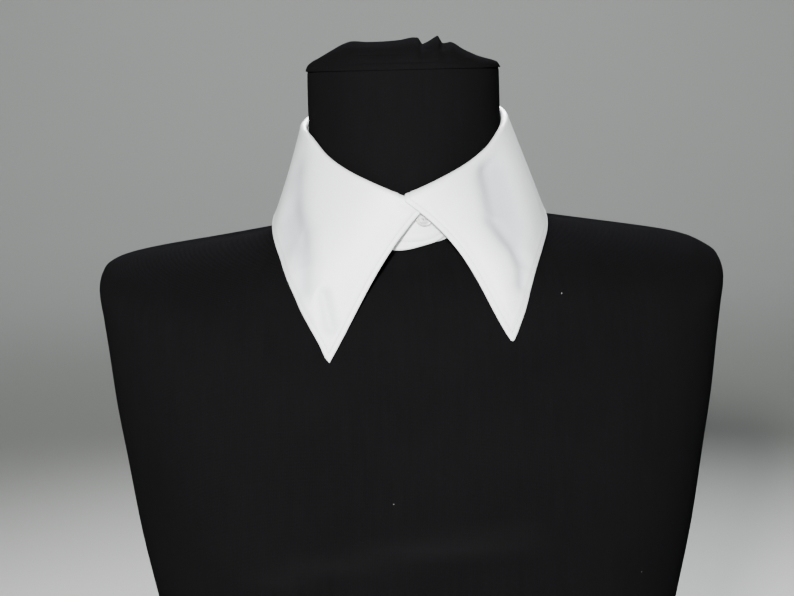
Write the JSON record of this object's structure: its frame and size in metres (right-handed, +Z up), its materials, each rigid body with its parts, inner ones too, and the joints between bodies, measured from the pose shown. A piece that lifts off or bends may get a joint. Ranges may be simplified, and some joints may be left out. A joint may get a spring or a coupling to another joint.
{
  "type": "detachable shirt collar on a dress form",
  "caption": "White long-point detachable shirt collar buttoned round the neck of a black cloth-covered dress form without arms.",
  "frame": {"origin": "centre of the form's bounding box, at the height of the flat base that it stands on", "axes": "+Z up, -Y towards the front of the collar, +X towards the right of someone facing the front"},
  "size_m": [0.381, 0.209, 0.5133],
  "materials": {
    "collar_cotton": "plain white cotton poplin, slightly cool, matt",
    "button_white": "white, soft gloss",
    "form_jersey": "black knitted cover cloth, stretched smooth, matt"
  },
  "bodies": {
    "root": {"collar_leaf": "collar_cotton", "collar_band": "collar_cotton", "button": "button_white", "form_torso": "form_jersey", "form_neck_tuck": "form_jersey"}
  },
  "joints": []
}
